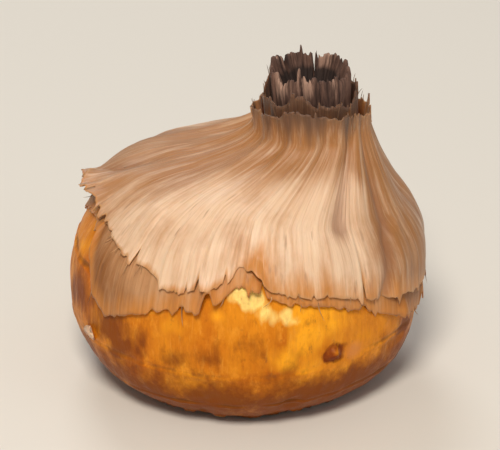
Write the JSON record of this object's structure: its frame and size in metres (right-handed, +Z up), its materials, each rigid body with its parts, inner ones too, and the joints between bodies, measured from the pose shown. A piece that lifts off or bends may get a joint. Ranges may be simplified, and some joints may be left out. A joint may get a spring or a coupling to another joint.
{
  "type": "gladiolus corm",
  "caption": "Squat round gladiolus corm, orange below, with torn papery husks over its upper part and a hollow dry stem stub off centre on top.",
  "frame": {"origin": "on the surface the corm rests on, under the middle of its box", "axes": "+Z up, from the root ring to the stem stub; +X towards the side the stem stub stands on; -Y towards the notch in the torn edge of the outer husk"},
  "size_m": [0.0394, 0.0372, 0.0361],
  "materials": {
    "flesh": "waxy, satin",
    "inner_husk": "dry and fibrous",
    "outer_husk": "dry, satin, finely ribbed",
    "dry_stem": "dry and fibrous"
  },
  "bodies": {
    "root": {"corm": "flesh", "inner_husk": "inner_husk", "outer_husk": "outer_husk", "old_stem_stub": "dry_stem"}
  },
  "joints": []
}
